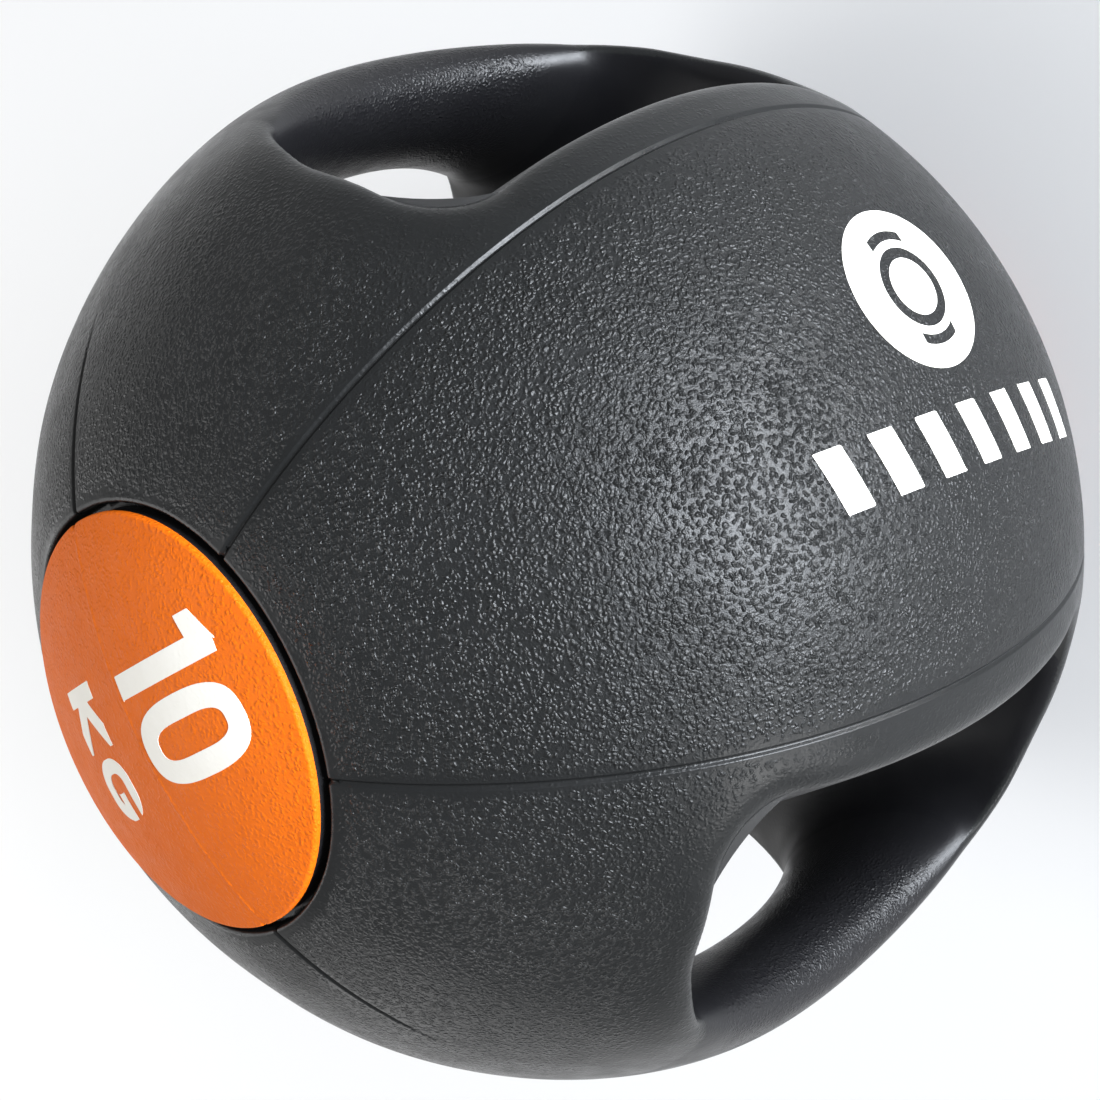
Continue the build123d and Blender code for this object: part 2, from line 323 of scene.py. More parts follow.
def cut(p, tris, level, snap):
    """Splits triangles along level = 0; points nearer than snap move onto it.

    A crossed triangle is first turned so that its lone corner, or its corner on the
    level, comes first. It then becomes two triangles or three.
    """
    value = level(p)
    near = np.abs(value) < snap
    g = slope(level, p[near])
    size = np.maximum((g * g).sum(1), 1e-6)
    p = p.copy()
    p[near] -= (value[near] / size)[:, None] * g
    value[near] = 0
    side = np.sign(value).astype(int)[tris]
    crossed = (side.min(1) < 0) & (side.max(1) > 0)
    kept = tris[~crossed]
    tris = tris[crossed]
    side = side[crossed]
    has_zero = (side == 0).any(1)
    lone = np.where(
        has_zero,
        np.argmax(side == 0, axis=1),
        np.argmax(side == -np.sign(side.sum(1))[:, None], axis=1),
    )
    order = (lone[:, None] + np.arange(3)) % 3
    tris = np.take_along_axis(tris, order, axis=1)
    halves = tris[has_zero]
    thirds = tris[~has_zero]
    edges = np.concatenate([halves[:, [1, 2]], thirds[:, [0, 1]], thirds[:, [0, 2]]])
    edges, where = np.unique(np.sort(edges, axis=1), axis=0, return_inverse=True)
    where = where.reshape(-1) + len(p)
    va, vb = value[edges[:, 0]], value[edges[:, 1]]
    t = (va / (va - vb))[:, None]
    p = np.concatenate([p, p[edges[:, 0]] * (1 - t) + p[edges[:, 1]] * t])
    h = len(halves)
    k = len(thirds)
    m = where[:h]
    ab = where[h : h + k]
    ac = where[h + k :]
    a, b, c = halves.T
    made = [np.stack([a, b, m], 1), np.stack([a, m, c], 1)]
    a, b, c = thirds.T
    made += [np.stack([a, ab, ac], 1), np.stack([ab, b, c], 1), np.stack([ab, c, ac], 1)]
    return p, np.concatenate([kept] + made)


def pick(tris, wanted):
    """Old numbers of the points that the chosen triangles use, and the triangles renumbered."""
    chosen = tris[wanted]
    used, tris = np.unique(chosen, return_inverse=True)
    return used, tris.reshape(-1, 3)


def rim_edges(tris):
    """Directed edges that only one triangle has."""
    edges = np.concatenate([tris[:, [0, 1]], tris[:, [1, 2]], tris[:, [2, 0]]])
    key = edges[:, 0].astype(np.int64) * (tris.max() + 1) + edges[:, 1]
    back = edges[:, 1].astype(np.int64) * (tris.max() + 1) + edges[:, 0]
    return edges[~np.isin(key, back)]


# ---- Blender objects ----------------------------------------------------
def add_mesh(name, p, tris, normals, material, attributes=None):
    """Mesh object from points, triangles and a normal for each triangle corner."""
    mesh = bpy.data.meshes.new(name)
    mesh.vertices.add(len(p))
    mesh.vertices.foreach_set("co", p.astype(np.float32).ravel())
    mesh.loops.add(tris.size)
    mesh.loops.foreach_set("vertex_index", tris.ravel().astype(np.int32))
    mesh.polygons.add(len(tris))
    mesh.polygons.foreach_set("loop_start", np.arange(0, tris.size, 3, dtype=np.int32))
    mesh.polygons.foreach_set("use_smooth", np.ones(len(tris), bool))
    mesh.update(calc_edges=True)
    mesh.normals_split_custom_set(normals.reshape(-1, 3))
    for label, values in (attributes or {}).items():
        layer = mesh.attributes.new(label, "FLOAT", "POINT")
        layer.data.foreach_set("value", values.astype(np.float32))
    mesh.materials.append(material)
    obj = bpy.data.objects.new(name, mesh)
    bpy.context.scene.collection.objects.link(obj)
    return obj


def closed_shell(p, tris, normals, inner):
    """Closes a patch with the same patch at the points inner, and a rim between."""
    count = len(p)
    edges = rim_edges(tris)
    a, b = edges.T
    rim = np.concatenate(
        [np.stack([b, a, a + count], 1), np.stack([b, a + count, b + count], 1)]
    )
    points = np.concatenate([p, inner])
    back = tris[:, ::-1] + count
    corner = [normals[tris], -normals[tris[:, ::-1]]]
    face = np.cross(points[rim[:, 1]] - points[rim[:, 0]], points[rim[:, 2]] - points[rim[:, 0]])
    corner.append(np.repeat(unit(face)[:, None], 3, axis=1))
    return points, np.concatenate([tris, back, rim]), np.concatenate(corner)


def finish_piece(obj, slot, *nodes):
    """Every piece rides on the one body and stands for its CAD nodes."""
    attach(obj, "root")
    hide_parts(*nodes)
    return obj


# ---- materials ----------------------------------------------------------
def new_material(name):
    """Material with its node tree and main shader."""
    material = bpy.data.materials.new(name)
    material.use_nodes = True
    tree = material.node_tree
    shader = tree.nodes["Principled BSDF"]
    return material, tree, shader


def node(tree, kind, **settings):
    """New node, each setting put on the input or the property of that name."""
    made = tree.nodes.new(kind)
    for key, value in settings.items():
        if key in made.inputs:
            made.inputs[key].default_value = value
        else:
            setattr(made, key, value)
    return made


def math_node(tree, operation, a, b=None):
    """Result of a sum on sockets or plain numbers."""
    made = node(tree, "ShaderNodeMath", operation=operation)
    for socket, value in zip(made.inputs, (a, b)):
        if value is None:
            continue
        if isinstance(value, (int, float)):
            socket.default_value = value
        else:
            tree.links.new(value, socket)
    return made.outputs["Value"]


def ranged(tree, value, from_min, from_max, to_min, to_max, curve="LINEAR"):
    """Value carried over from one range to another."""
    made = node(tree, "ShaderNodeMapRange", interpolation_type=curve)
    tree.links.new(value, made.inputs["Value"])
    made.inputs["From Min"].default_value = from_min
    made.inputs["From Max"].default_value = from_max
    made.inputs["To Min"].default_value = to_min
    made.inputs["To Max"].default_value = to_max
    return made.outputs["Result"]


def mixed(tree, share, a, b):
    """Colour between a and b by share."""
    made = node(tree, "ShaderNodeMix", data_type="RGBA")
    tree.links.new(share, made.inputs["Factor"])
    made.inputs[6].default_value = (*a, 1)
    made.inputs[7].default_value = (*b, 1)
    return made.outputs[2]


def noise(tree, place, size, detail=2.0, roughness=0.5):
    """Noise with features of about the given size in metres."""
    made = node(tree, "ShaderNodeTexNoise", Scale=1 / size, Detail=detail, Roughness=roughness)
    tree.links.new(place, made.inputs["Vector"])
    return made.outputs["Fac"]


def pebbles(tree, place, size):
    """Height of a pebbled grain: uneven domes about size apart, some higher than others."""
    shift = node(tree, "ShaderNodeTexNoise", Scale=0.7 / size, Detail=0.0)
    tree.links.new(place, shift.inputs["Vector"])
    centred = node(tree, "ShaderNodeVectorMath", operation="SUBTRACT")
    tree.links.new(shift.outputs["Color"], centred.inputs[0])
    centred.inputs[1].default_value = (0.5, 0.5, 0.5)
    moved = node(tree, "ShaderNodeVectorMath", operation="MULTIPLY_ADD")
    tree.links.new(centred.outputs["Vector"], moved.inputs[0])
    moved.inputs[1].default_value = (size * 1.2,) * 3
    tree.links.new(place, moved.inputs[2])
    cells = node(tree, "ShaderNodeTexVoronoi", feature="F1", Scale=1 / size)
    tree.links.new(moved.outputs["Vector"], cells.inputs["Vector"])
    dome = ranged(tree, cells.outputs["Distance"], 0.0, 0.7, 1.0, 0.0, "SMOOTHSTEP")
    tallness = ranged(tree, noise(tree, place, 1.6 * size), 0.3, 0.7, 0.35, 1.0)
    return math_node(tree, "MULTIPLY", dome, tallness)


def rubber(name, dark, light, roughness, grain_size, grain_depth):
    """Moulded black rubber with a pebbled grain, scaled by the mesh's 'grain'."""
    material, tree, shader = new_material(name)
    place = node(tree, "ShaderNodeTexCoord").outputs["Object"]
    grain = node(tree, "ShaderNodeAttribute", attribute_name="grain").outputs["Fac"]
    coarse = pebbles(tree, place, grain_size)
    fine = noise(tree, place, grain_size * 0.35)
    patchy = ranged(tree, noise(tree, place, 22 * MM), 0.35, 0.65, 0.75, 1.1)
    height = math_node(tree, "MULTIPLY_ADD", fine, 0.25)
    tree.links.new(coarse, height.node.inputs[2])
    height = math_node(tree, "MULTIPLY", height, math_node(tree, "MULTIPLY", grain, patchy))
    bump = node(tree, "ShaderNodeBump", Strength=1.0, Distance=grain_depth)
    tree.links.new(height, bump.inputs["Height"])
    tree.links.new(bump.outputs["Normal"], shader.inputs["Normal"])
    cloud = noise(tree, place, 35 * MM, detail=5.0, roughness=0.6)
    tree.links.new(mixed(tree, cloud, dark, light), shader.inputs["Base Color"])
    wear = noise(tree, place, 9 * MM, detail=4.0)
    polish = ranged(tree, wear, 0.3, 0.7, roughness - 0.05, roughness + 0.06)
    tree.links.new(polish, shader.inputs["Roughness"])
    shader.inputs["Specular IOR Level"].default_value = 0.26
    return material


def moulded_colour(name, dark, light, roughness, grain_size, grain_depth):
    """Coloured or printed rubber: fine leathery grain, slight unevenness of colour."""
    material, tree, shader = new_material(name)
    place = node(tree, "ShaderNodeTexCoord").outputs["Object"]
    height = math_node(tree, "MULTIPLY_ADD", noise(tree, place, grain_size * 0.4), 0.4)
    tree.links.new(pebbles(tree, place, grain_size), height.node.inputs[2])
    bump = node(tree, "ShaderNodeBump", Strength=1.0, Distance=grain_depth)
    tree.links.new(height, bump.inputs["Height"])
    tree.links.new(bump.outputs["Normal"], shader.inputs["Normal"])
    cloud = noise(tree, place, 8 * MM, detail=6.0, roughness=0.65)
    tree.links.new(mixed(tree, cloud, dark, light), shader.inputs["Base Color"])
    wear = noise(tree, place, 5 * MM, detail=3.0)
    polish = ranged(tree, wear, 0.3, 0.7, roughness - 0.05, roughness + 0.08)
    tree.links.new(polish, shader.inputs["Roughness"])
    shader.inputs["Specular IOR Level"].default_value = 0.08
    return material


COVER_RUBBER = rubber(
    "cover_rubber", dark=(0.007, 0.0075, 0.0075), light=(0.011, 0.0115, 0.012),
    roughness=0.30, grain_size=1.05 * MM, grain_depth=0.52 * MM,
)
GRIP_RUBBER = rubber(
    "grip_rubber", dark=(0.006, 0.006, 0.007), light=(0.010, 0.010, 0.011),
    roughness=0.34, grain_size=0.90 * MM, grain_depth=0.26 * MM,
)
LINER_RUBBER = rubber(
    "liner_rubber", dark=(0.005, 0.005, 0.006), light=(0.008, 0.008, 0.009),
    roughness=0.40, grain_size=1.2 * MM, grain_depth=0.3 * MM,
)
DISC_RUBBER = moulded_colour(
    "disc_rubber", dark=(0.655, 0.118, 0.003), light=(0.745, 0.146, 0.005),
    roughness=0.5, grain_size=1.2 * MM, grain_depth=0.24 * MM,
)
# The disc bed's near-black colour is painted shade: it makes the side wall under the orange face
# read as the dark gap round the disc.
DISC_BED_PAINTED_SHADE = moulded_colour(
    "disc_bed_painted_shade", dark=(0.010, 0.010, 0.011), light=(0.014, 0.014, 0.015),
    roughness=0.5, grain_size=1.0 * MM, grain_depth=0.1 * MM,
)
INK = moulded_colour(
    "mark_ink", dark=(0.80, 0.77, 0.70), light=(0.88, 0.86, 0.80),
    roughness=0.5, grain_size=1.2 * MM, grain_depth=0.03 * MM,
)


# ---- rubber body --------------------------------------------------------
def off_border(index, offset):
    """Level whose zero lines run beside panel border number index, offset away."""
    normal = border_normal(index)
    return lambda p: np.abs(p @ normal) - offset if offset else p @ normal


def outside_ring(ring_r):
    """Level whose zero line runs at ring_r round the Z axis."""
    return lambda p: np.hypot(p[:, 0], p[:, 1]) - ring_r


def body_mesh():
    """The whole body's outer surface with its grooves, cut along every border."""
    half = COVER_R + CREST + CELL
    p, quads = surface_net(body_field, half, CELL)
    p = onto(body_field, p, 3)
    p = relax(body_field, p, quads, 4)
    p = onto(body_field, p, 2)
    tris = triangles(p, quads)
    levels = [off_border(index, 0) for index in range(BORDER_COUNT)]
    for share in GROOVE_CUTS:
        for index in range(BORDER_COUNT):
            levels.append(off_border(index, share * GROOVE_HALF_W))
    levels.append(lambda q: np.abs(q[:, 2]) - GRIP_BORDER_Z)
    levels.append(lambda q: np.linalg.norm(q, axis=1) - (COVER_R - SKIN))
    levels.append(outside_ring(PANEL_EDGE_R))
    for share in WELL_CUTS:
        levels.append(outside_ring(WELL_R + share * WELL_LIP))
    levels.append(valve_distance)
    for level in levels:
        p, tris = cut(p, tris, level, CUT_SNAP)
    p = onto(body_field, p, 1)
    return p, tris


def piece_masks(middle):
    """Which triangles, by their middles, belong to which piece."""
    x, y, z = middle.T
    radius = np.linalg.norm(middle, axis=1)
    grip = (np.abs(z) < GRIP_BORDER_Z) & (np.abs(x) > FLOOR_X + 14 * MM)
    sides = (np.abs(x), y, np.abs(z))
    grip &= grip_field(*sides) < ball_with_pockets(*sides)
    well = (np.hypot(x, y) < WELL_R + 1 * MM) & (np.abs(z) > WELL_FLOOR_Z - 1 * MM)
    liner = (radius < COVER_R - SKIN) & ~grip & ~well
    panel = ~grip & ~liner & (np.hypot(x, y) > PANEL_EDGE_R) & (valve_distance(middle) > 0)
    masks = {
        "right_grip": grip & (x > 0),
        "left_grip": grip & (x < 0),
        "right_pocket_liner": liner & (x > 0),
        "left_pocket_liner": liner & (x < 0),
    }
    names = [
        "right_rear_panel",
        "rear_panel",
        "left_rear_panel",
        "left_front_panel",
        "front_panel",
        "right_front_panel",
    ]
    turn = np.mod(np.arctan2(y, x), 2 * np.pi) / (2 * np.pi / PANEL_COUNT)
    for index, name in enumerate(names):
        masks[name] = panel & (np.floor(turn) == index)
    return masks


def grain_strength(p):
    """How strong the pebbles are: full on the panels, faint beside a groove or a lip."""
    radius = np.linalg.norm(p, axis=1)
    away = np.full(len(p), 1.0)
    for index in range(BORDER_COUNT):
        away = np.minimum(away, 1 - 0.85 * near_border(p, index, *GRAIN_BY_GROOVE))
    from_well = np.hypot(p[:, 0], p[:, 1]) - WELL_R
    well = 0.1 + 0.9 * smooth_step(*GRAIN_BY_WELL, from_well)
    from_pocket = pocket_depth(np.abs(p[:, 0]), p[:, 1], np.abs(p[:, 2]))
    pocket = 0.15 + 0.85 * smooth_step(*GRAIN_BY_POCKET, from_pocket)
    valve = 0.1 + 0.9 * smooth_step(*GRAIN_BY_VALVE, valve_distance(p))
    outside = 0.4 + 0.6 * smooth_step(COVER_R - 8 * MM, COVER_R - 1 * MM, radius)
    return away * well * pocket * valve * outside


def grip_grain_strength(p):
    """Full fine grain along a grip, fading towards its roots."""
    return 1 - smooth_step(0.2 * COVER_R, GRIP_BORDER_Z - 2 * MM, np.abs(p[:, 2]))


def build_body():
    """Cuts the body into its pieces and gives each its thickness."""
    base, tris = body_mesh()
    middle = base[tris].mean(1)
    base_normal = unit(slope(body_field, base))
    skin = base - groove_field(base)[:, None] * base_normal
    skin_normal = unit(slope(grooved_field, skin))
    grain = grain_strength(base)
    looks = {
        "panel": (COVER_RUBBER, "pebbled_cover"),
        "grip": (GRIP_RUBBER, "grip_rubber"),
        "liner": (LINER_RUBBER, "liner_rubber"),
    }
    for name, mask in piece_masks(middle).items():
        material, slot = looks[name.split("_")[-1]]
        used, faces = pick(tris, mask)
        inner = base[used] - SKIN * base_normal[used]
        p, faces, normals = closed_shell(skin[used], faces, skin_normal[used], inner)
        strength = grain[used]
        if material == GRIP_RUBBER:
            strength = np.maximum(strength, grip_grain_strength(base[used]))
        strength = np.concatenate([strength, strength])
        obj = add_mesh(name + "_skin", p, faces, normals, material, {"grain": strength})
        finish_piece(obj, slot, name)


# ---- discs and marks ----------------------------------------------------
def slab(outline, reach, cell, top, bottom):
    """Closed slab over the flat shape outline < 0, between two surfaces.

    outline takes flat points (n, 3) with z = 0; top and bottom give the points
    and normals of the two surfaces over them.
    """
    ticks = np.arange(-reach[0], reach[0] + cell, cell)
    rows = np.arange(-reach[1], reach[1] + cell, cell)
    u, v = np.meshgrid(ticks, rows, indexing="ij")
    p = np.stack([u.ravel(), v.ravel(), np.zeros(u.size)], axis=1)
    i, j = np.meshgrid(np.arange(len(ticks) - 1), np.arange(len(rows) - 1), indexing="ij")
    corner = (i * len(rows) + j).ravel()
    quads = np.stack([corner, corner + len(rows), corner + len(rows) + 1, corner + 1], axis=1)
    tris = triangles(p, quads)
    p, tris = cut(p, tris, outline, 0.2 * cell)
    used, tris = pick(tris, outline(p[tris].mean(1)) < 0)
    flat = p[used]
    upper, normals = top(flat)
    return closed_shell(upper, tris, normals, bottom(flat)[0])


def box_outline(p, centre, half, corner_r=0.0):
    """Signed distance to a rounded rectangle."""
    q = np.abs(p[:, :2] - centre) - (np.array(half) - corner_r)
    outside = np.linalg.norm(np.maximum(q, 0), axis=1)
    return outside + np.minimum(q.max(1), 0) - corner_r


def bar_outline(p, start, end, width):
    """Signed distance to a straight stroke, square at its ends."""
    start, end = np.array(start), np.array(end)
    length = np.linalg.norm(end - start)
    along = (end - start) / length
    q = p[:, :2] - (start + end) / 2
    turned = np.stack([q @ along, q @ np.array([-along[1], along[0]])], axis=1)
    return box_outline(turned, (0, 0), (length / 2, width / 2))


def left_of(p, start, end):
    """Signed distance to a line, below 0 on its left when looking from start to end."""
    start, end = np.array(start), np.array(end)
    along = (end - start) / np.linalg.norm(end - start)
    return (p[:, :2] - start) @ np.array([along[1], -along[0]])


def ring_outline(p, centre, half, corner_r, stroke):
    """Signed distance to a rounded frame of the given stroke."""
    middle = (half[0] - stroke / 2, half[1] - stroke / 2)
    return np.abs(box_outline(p, centre, middle, corner_r - stroke / 2)) - stroke / 2


def one_outline(p, x, y, height, stroke):
    """Figure one: a stem with a slanted flag, its foot on y."""
    side = stroke / 2
    tip = x - side - 0.92 * stroke
    stem = box_outline(p, (x, y + height / 2), (side, height / 2))
    under = left_of(p, (tip, y + 0.76 * height), (x - side, y + 0.795 * height))
    over = left_of(p, (x - 0.45 * side, y + height), (tip, y + 0.89 * height))
    flag = np.maximum(under, np.maximum(tip - p[:, 0], p[:, 0] - x))
    return np.maximum(np.minimum(stem, flag), over)


def zero_outline(p, x, y, half_w, half_h, stroke):
    """Figure zero: an even stroke along an oval that is fuller than an ellipse."""
    across = np.abs(p[:, 0] - x) / (half_w - stroke / 2)
    along = np.abs(p[:, 1] - y) / (half_h - stroke / 2)
    power = 2.6
    level = (across**power + along**power) ** (1 / power)
    size = np.hypot(
        (across / np.maximum(level, 0.1)) ** (power - 1) / (half_w - stroke / 2),
        (along / np.maximum(level, 0.1)) ** (power - 1) / (half_h - stroke / 2),
    )
    return np.abs(level - 1) / size - stroke / 2


def letter_k_outline(p, x, y, width, height, stroke):
    """Unit letter K, its stem's left edge on x."""
    stem = box_outline(p, (x + stroke / 2, y + height / 2), (stroke / 2, height / 2))
    knee = (x + 0.8 * stroke, y + height / 2)
    arm = bar_outline(p, knee, (x + 1.1 * width, y + 1.16 * height), stroke)
    leg = bar_outline(p, knee, (x + 1.1 * width, y - 0.16 * height), stroke)
    limbs = np.minimum(arm, leg)
    field = box_outline(p, (x + width / 2, y + height / 2), (width / 2, height / 2))
    return np.minimum(stem, np.maximum(limbs, field))


def letter_g_outline(p, x, y, width, height, stroke):
    """Unit letter G, a rounded frame with a gap and a bar."""
    middle = np.array([x + width / 2, y + height / 2])
    frame_line = ring_outline(p, middle, (width / 2, height / 2), 0.45 * height, 0.9 * stroke)
    gap = box_outline(p, middle + (width / 2, 0.14 * height), (width / 2, 0.10 * height))
    bar = box_outline(p, middle + (0.275 * width, -0.06 * height), (0.225 * width, 0.35 * stroke))
    return np.minimum(np.maximum(frame_line, -gap), bar)


def mass_mark_outline(p):
    """"10" over "KG", drawn upright and then turned to point at the front."""
    p = p * (-1, -1, 1)
    one = one_outline(p, ONE_X, DIGIT_BASE_Y, DIGIT_H, DIGIT_STROKE)
    middle_y = DIGIT_BASE_Y + DIGIT_H / 2
    zero = zero_outline(p, ZERO_X, middle_y, DIGIT_W / 2, DIGIT_H / 2, DIGIT_STROKE)
    letter = (LETTER_W, LETTER_H, LETTER_STROKE)
    k = letter_k_outline(p, K_LEFT_X, LETTER_BASE_Y, *letter)
    g = letter_g_outline(p, G_LEFT_X, LETTER_BASE_Y, *letter)
    return np.minimum(np.minimum(one, zero), np.minimum(k, g))


def rim_radius(v):
    """Radius of a disc's outline, with a nick where the parting line ends."""
    return DISC_R - DISC_NOTCH * (1 - smooth_step(0, 1.4 * MM, np.abs(v - 0.6 * MM)))


def dome_height(u, v):
    """Height of a disc's face: dome, rounded edge and parting ridge."""
    r = np.hypot(u, v)
    dome = np.sqrt(DOME_R**2 - np.minimum(r, DISC_R) ** 2) - (DOME_R - DISC_APEX_Z)
    into_edge = np.clip(r - (rim_radius(v) - DISC_EDGE_R), 0, DISC_EDGE_R)
    drop = DISC_EDGE_R - np.sqrt(np.maximum(DISC_EDGE_R**2 - into_edge**2, 0))
    ridge = RIDGE_H * (1 - smooth_step(0, RIDGE_HALF_W, np.abs(v)))
    return dome - drop + ridge * (1 - smooth_step(DISC_R - 4 * MM, DISC_R - 1 * MM, r))


def on_disc(lift):
    """Surface over the disc's face, lifted by lift, as points and normals."""
    def surface(flat):
        u, v = flat[:, 0], flat[:, 1]
        step = 0.03 * MM
        du = (dome_height(u + step, v) - dome_height(u - step, v)) / (2 * step)
        dv = (dome_height(u, v + step) - dome_height(u, v - step)) / (2 * step)
        normals = unit(np.stack([-du, -dv, np.ones(len(u))], axis=1))
        return np.stack([u, v, dome_height(u, v) + lift], axis=1), normals
    return surface


def level_floor(height):
    """Flat surface at a height."""
    def surface(flat):
        up = np.tile((0.0, 0.0, 1.0), (len(flat), 1))
        return np.stack([flat[:, 0], flat[:, 1], np.full(len(flat), height)], axis=1), up
    return surface


def polar_grid(rings, turns):
    """Round flat mesh of radius 1, its spokes closest together beside v = 0."""
    t = np.arange(turns) * 2 * np.pi / turns
    angles = t - 0.42 * np.sin(2 * t)
    r, angle = np.meshgrid(rings, angles, indexing="ij")
    p = np.stack([r * np.cos(angle), r * np.sin(angle), 0 * r], axis=2).reshape(-1, 3)
    p = np.concatenate([np.zeros((1, 3)), p])
    k = np.arange(turns)
    following = (k + 1) % turns
    tris = [np.stack([np.zeros(turns, int), 1 + k, 1 + following], axis=1)]
    for ring in range(len(rings) - 1):
        near = 1 + ring * turns
        far = near + turns
        tris.append(np.stack([near + k, far + k, far + following], axis=1))
        tris.append(np.stack([near + k, far + following, near + following], axis=1))
    return p, np.concatenate(tris)


def rounded_rings(count, edge):
    """Ring radii from the middle out to 1, closing up inside the last edge."""
    plain = np.linspace(0, 1 - edge, count + 1)[1:]
    rounding = 1 - edge * (1 - np.sin(np.linspace(0, np.pi / 2, 6)[1:]))
    return np.concatenate([plain, rounding])


def add_turned(name, made, turn, material):
    """Mesh object from a closed shell, turned over where turn has minus signs."""
    p, tris, normals = made
    return add_mesh(name, p * turn, tris, normals * turn, material)


def build_disc_face(end, turn, fine):
    """Orange face sheet, with mesh edges along its parting ridge."""
    p, tris = polar_grid(rounded_rings(30 // fine, DISC_EDGE_R / DISC_R), 240 // fine)
    outwards = np.linalg.norm(p, axis=1)
    p = p * DISC_R
    notch = rim_radius(p[:, 1]) / DISC_R
    p *= (notch ** outwards**8)[:, None]
    for share in RIDGE_CUTS:
        p, tris = cut(p, tris, lambda q: q[:, 1] - share * RIDGE_HALF_W, 0.1 * MM)
    upper, normals = on_disc(0)(p)
    lower = upper - np.array([0, 0, DISC_FACE_T])
    made = closed_shell(upper, tris, normals, lower)
    obj = add_turned(end + "_disc_face", made, turn, DISC_RUBBER)
    finish_piece(obj, "end_disc", end + "_disc")


def build_disc_bed(end, turn, fine):
    """Bed between the face sheet and the seat, coloured black as painted shade for the dark gap
    round the disc.
    """
    p, tris = polar_grid(rounded_rings(12, 0.02), 120 // fine)
    upper, normals = on_disc(-0.8 * DISC_FACE_T)(p * (DISC_R - 0.5 * MM))
    made = closed_shell(upper, tris, normals, level_floor(DISC_SEAT_Z)(upper)[0])
    obj = add_turned(end + "_disc_bed", made, turn, DISC_BED_PAINTED_SHADE)
    finish_piece(obj, "carcass_rubber", end + "_disc")


def build_mass_mark(end, turn, fine):
    """Printed mass mark, laid over the disc's dome."""
    made = slab(mass_mark_outline, MARK_REACH, 0.5 * fine * MM, on_disc(INK_H), on_disc(-INK_H))
    obj = add_turned(end + "_mass_print", made, turn, INK)
    finish_piece(obj, "mark_ink", end + "_mass_mark")


def on_front(lift):
    """Surface over the front of the cover, lifted by lift: flat u, v become x, z."""
    def surface(flat):
        x, z = flat[:, 0], flat[:, 1]
        y = -np.sqrt(COVER_R**2 - x**2 - z**2)
        p = onto(body_field, np.stack([x, y, z], axis=1), 3)
        normals = unit(slope(body_field, p))
        return p + lift * normals, normals
    return surface


def emblem_outline(p):
    """Plain roundel with the outline of a ball and two grips left open."""
    centre = np.array([(EMBLEM_LOW.x + EMBLEM_HIGH.x) / 2, (EMBLEM_LOW.z + EMBLEM_HIGH.z) / 2])
    size = (EMBLEM_HIGH.x - EMBLEM_LOW.x) / 2
    q = p[:, :2] - centre
    r = np.linalg.norm(q, axis=1)
    ball = np.abs(r - EMBLEM_BALL_R * size) - EMBLEM_BALL_LINE * size
    grips = np.abs(r - EMBLEM_GRIP_R * size) - EMBLEM_GRIP_LINE * size
    grips = np.maximum(grips, np.abs(q[:, 1]) - EMBLEM_GRIP_HALF_L * size)
    return np.maximum(r - size, -np.minimum(ball, grips))


def stripes_outline(p):
    """Row of slanted stripes about the middle of the CAD node's box."""
    q = p[:, :2] - ((STRIPES_LOW.x + STRIPES_HIGH.x) / 2, (STRIPES_LOW.z + STRIPES_HIGH.z) / 2)
    across = q[:, 0] * np.cos(STRIPE_TILT) - q[:, 1] * np.sin(STRIPE_TILT)
    along = q[:, 0] * np.sin(STRIPE_TILT) + q[:, 1] * np.cos(STRIPE_TILT)
    along -= STRIPE_SLANT * across
    index = np.clip(np.round(along / STRIPE_PITCH), -(STRIPE_COUNT // 2), STRIPE_COUNT // 2)
    stripe = np.abs(along - index * STRIPE_PITCH) - STRIPE_W / 2
    return np.maximum(stripe, np.abs(across) - STRIPE_H / 2)


def build_front_print():
    """Roundel and stripes, laid over the front panel."""
    cell = 0.6 * MM
    for name, outline, node_name in (
        ("front_emblem_print", emblem_outline, "front_emblem"),
        ("front_stripes_print", stripes_outline, "front_stripes"),
    ):
        low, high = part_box(node_name)
        reach = (max(-low.x, high.x) + 2 * MM, max(-low.z, high.z) + 2 * MM)
        made = slab(outline, reach, cell, on_front(INK_H), on_front(-INK_H))
        obj = add_mesh(name, *made, INK)
        finish_piece(obj, "mark_ink", node_name)


def dress_cad_nodes():
    """Materials of the CAD nodes that stay: the inside layers and the valve."""
    plain = {
        "carcass_rubber": rubber(
            "carcass", dark=(0.02, 0.02, 0.02), light=(0.03, 0.03, 0.03),
            roughness=0.6, grain_size=2 * MM, grain_depth=0.02 * MM,
        ),
        "winding_cord": moulded_colour(
            "winding", dark=(0.55, 0.53, 0.48), light=(0.72, 0.70, 0.65),
            roughness=0.7, grain_size=1 * MM, grain_depth=0.1 * MM,
        ),
        "bladder_rubber": rubber(
            "bladder", dark=(0.05, 0.05, 0.05), light=(0.07, 0.07, 0.07),
            roughness=0.4, grain_size=2 * MM, grain_depth=0.02 * MM,
        ),
        "valve_rubber": rubber(
            "valve", dark=(0.012, 0.012, 0.012), light=(0.018, 0.018, 0.018),
            roughness=0.4, grain_size=1 * MM, grain_depth=0.01 * MM,
        ),
    }
    slots = {part["node"]: part["material_slot"] for part in frame["record"]["subparts"]}
    for name, obj in frame["nodes"].items():
        if slots[name] in plain and not obj.hide_render:
            obj.data.materials.clear()
            obj.data.materials.append(plain[slots[name]])


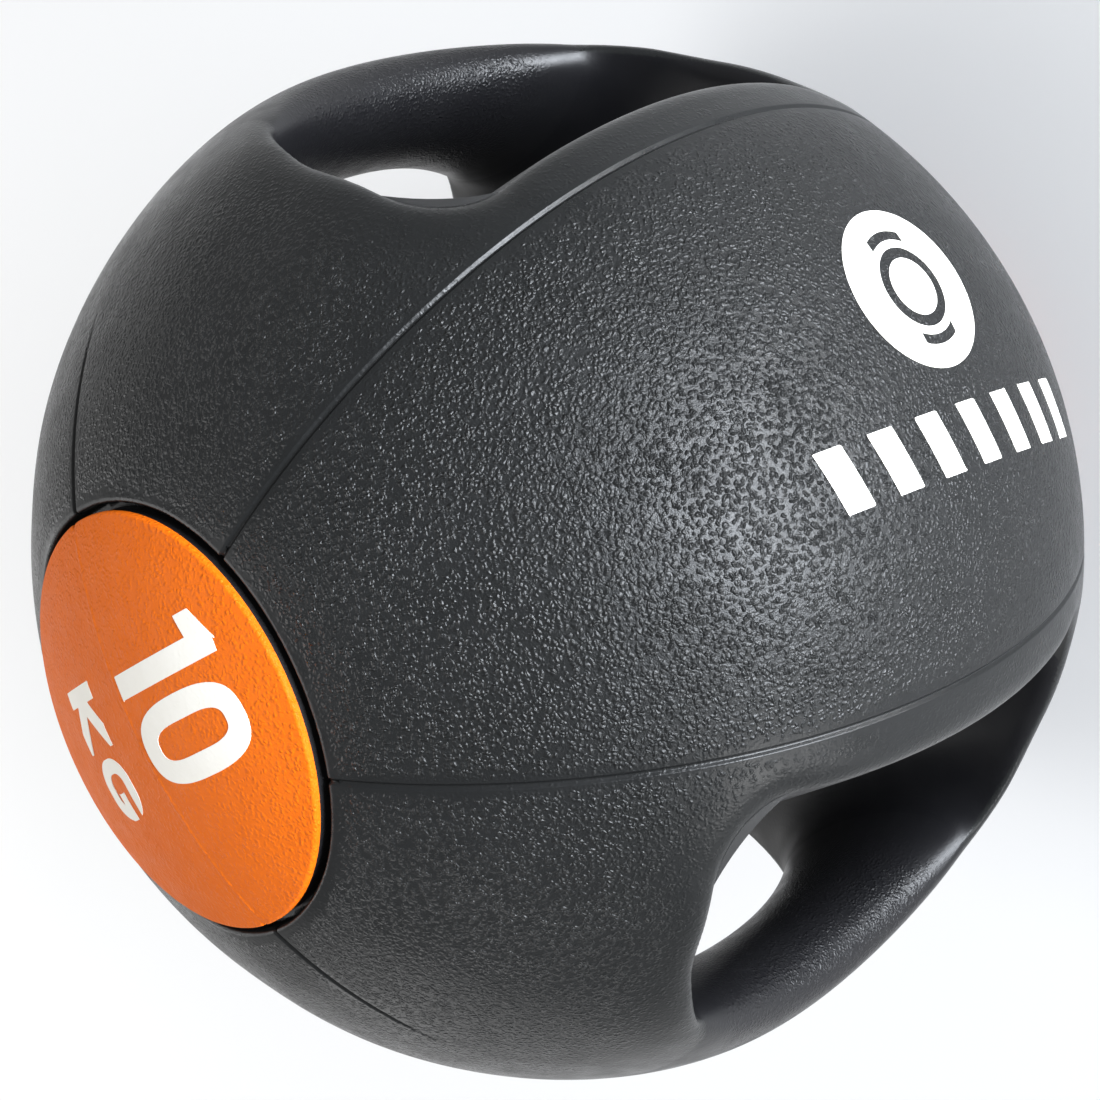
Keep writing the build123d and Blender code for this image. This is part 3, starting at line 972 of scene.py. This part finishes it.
# ---- stage --------------------------------------------------------------
def build_stage():
    """White floor under the ball, and a white surrounding."""
    material, _, shader = new_material("floor")
    shader.inputs["Base Color"].default_value = (0.85, 0.85, 0.85, 1)
    shader.inputs["Roughness"].default_value = 0.8
    low = -DISC_APEX_Z - RIDGE_H
    size = 12.0
    p = np.array([(-size, -size, low), (size, -size, low), (size, size, low), (-size, size, low)])
    tris = np.array([(0, 1, 2), (0, 2, 3)])
    floor = add_mesh("floor", p, tris, np.tile((0.0, 0.0, 1.0), (6, 1)), material)
    world = bpy.data.worlds.new("studio")
    bpy.context.scene.world = world
    world.use_nodes = True
    background = world.node_tree.nodes["Background"]
    background.inputs["Color"].default_value = (1, 1, 1, 1)
    background.inputs["Strength"].default_value = 0.40
    bpy.context.scene.view_settings.view_transform = "Standard"


def softbox(name, place, target, size, power):
    """Rectangular light of a size in metres and a power in watts, facing target."""
    light = bpy.data.lights.new(name, "AREA")
    light.shape = "RECTANGLE"
    light.size, light.size_y = size
    light.energy = power
    obj = bpy.data.objects.new(name, light)
    bpy.context.scene.collection.objects.link(obj)
    obj.location = place
    obj.rotation_mode = "QUATERNION"
    away = Vector(place) - Vector(target)
    obj.rotation_quaternion = away.to_track_quat("Z", "Y")
    return obj


def build_lights():
    """A low softbox in front, one from above, and weaker ones around the ball."""
    front = softbox("front", (-0.2, -1.2, 0.10), (0, 0, 0.0), (1.1, 0.5), 9.5)
    front.data.spread = 1.1
    front.data.color = (0.88, 0.93, 1.0)
    wash = softbox("floor_wash", (0.0, -1.05, 0.55), (0.0, -0.72, -0.14), (0.4, 0.25), 8)
    wash.data.spread = 0.6
    softbox("top", (0.2, 0.9, 1.3), (0, 0, 0), (1.0, 1.0), 11)
    softbox("left_front", (-1.1, -0.65, 0.12), (0, 0, 0), (0.4, 0.4), 4)
    softbox("right_rear", (1.0, 0.9, 0.25), (0, 0, 0), (0.4, 0.4), 0.5)
    softbox("left_rear", (-0.9, 1.0, 0.25), (0, 0, 0), (0.6, 0.4), 1.5)
    softbox("rear", (0.1, 1.3, 0.35), (0, 0, 0), (0.9, 0.4), 2.5)


def build_camera():
    """Camera at the photograph's viewing point, looking at the ball."""
    data = bpy.data.cameras.new("camera")
    data.lens = 72.5
    data.sensor_width = 36.0
    camera = bpy.data.objects.new("camera", data)
    bpy.context.scene.collection.objects.link(camera)
    place = Vector((-0.0953, -3.2776, 2.7754)) * COVER_R
    aim = Vector((-0.0008, 0.0095, 0.0114)) * COVER_R
    upright = Vector((0.90054, -0.29287, -0.32133))
    forward = (aim - place).normalized()
    right = forward.cross(upright).normalized()
    up = right.cross(forward)
    axes = Matrix((right, up, -forward)).transposed()
    camera.matrix_world = Matrix.Translation(place) @ axes.to_4x4()
    data.clip_start = 0.01
    bpy.context.scene.camera = camera


build_body()
for end, turn in (("top", (1, 1, 1)), ("bottom", (1, -1, -1))):
    for build_part in (build_disc_face, build_disc_bed, build_mass_mark):
        build_part(end, np.array(turn), 1)
build_front_print()
dress_cad_nodes()
build_stage()
build_lights()
build_camera()
